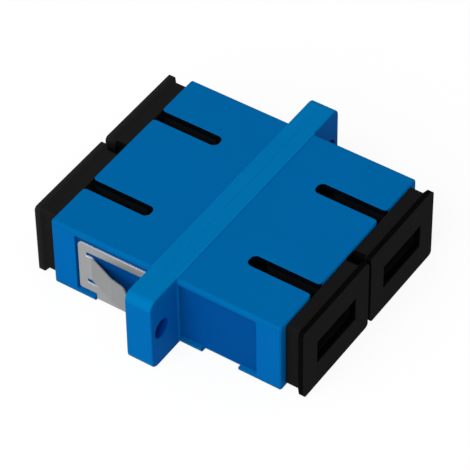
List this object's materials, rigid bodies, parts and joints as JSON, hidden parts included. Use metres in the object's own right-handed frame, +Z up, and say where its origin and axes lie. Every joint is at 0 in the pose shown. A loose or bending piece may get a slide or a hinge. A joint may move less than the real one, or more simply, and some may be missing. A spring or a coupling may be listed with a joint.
{
  "type": "duplex fibre adapter",
  "caption": "Flanged blue duplex fibre adapter: side-by-side keyed ports at both ends, split sleeves inside, a sprung steel panel clip and pull-off black dust caps.",
  "frame": {"origin": "centre of the body, midway between the ports, on the weld plane between the two housing halves", "axes": "+X along the flange through both screw holes, +Y along the fibres towards the end with the clip, +Z up through the side with the keyways"},
  "size_m": [0.0354, 0.0336, 0.0096],
  "materials": {
    "housing": "injection-moulded blue plastic, satin with soft highlights",
    "latch_carrier": "moulded charcoal engineering plastic",
    "sleeve": "ground white zirconia",
    "clip": "stamped spring stainless steel, bright and finely rolled",
    "dust_cap": "moulded black polyethylene, satin"
  },
  "bodies": {
    "housing": {"housing_front": "housing", "housing_rear": "housing", "latch_carrier_front_left": "latch_carrier", "latch_carrier_front_right": "latch_carrier", "latch_carrier_rear_left": "latch_carrier", "latch_carrier_rear_right": "latch_carrier", "split_sleeve_left": "sleeve", "split_sleeve_right": "sleeve", "mounting_clip": "clip"},
    "cap_front_left": {"dust_cap_front_left": "dust_cap"},
    "cap_front_right": {"dust_cap_front_right": "dust_cap"},
    "cap_rear_left": {"dust_cap_rear_left": "dust_cap"},
    "cap_rear_right": {"dust_cap_rear_right": "dust_cap"}
  },
  "joints": [
    {"name": "dust_cap_front_left_pull", "type": "slide", "parent": "housing", "child": "cap_front_left", "axis": [0, -1, 0], "range_m": [0, 0.015]},
    {"name": "dust_cap_front_right_pull", "type": "slide", "parent": "housing", "child": "cap_front_right", "axis": [0, -1, 0], "range_m": [0, 0.015]},
    {"name": "dust_cap_rear_left_pull", "type": "slide", "parent": "housing", "child": "cap_rear_left", "axis": [0, 1, 0], "range_m": [0, 0.015]},
    {"name": "dust_cap_rear_right_pull", "type": "slide", "parent": "housing", "child": "cap_rear_right", "axis": [0, 1, 0], "range_m": [0, 0.015]}
  ]
}
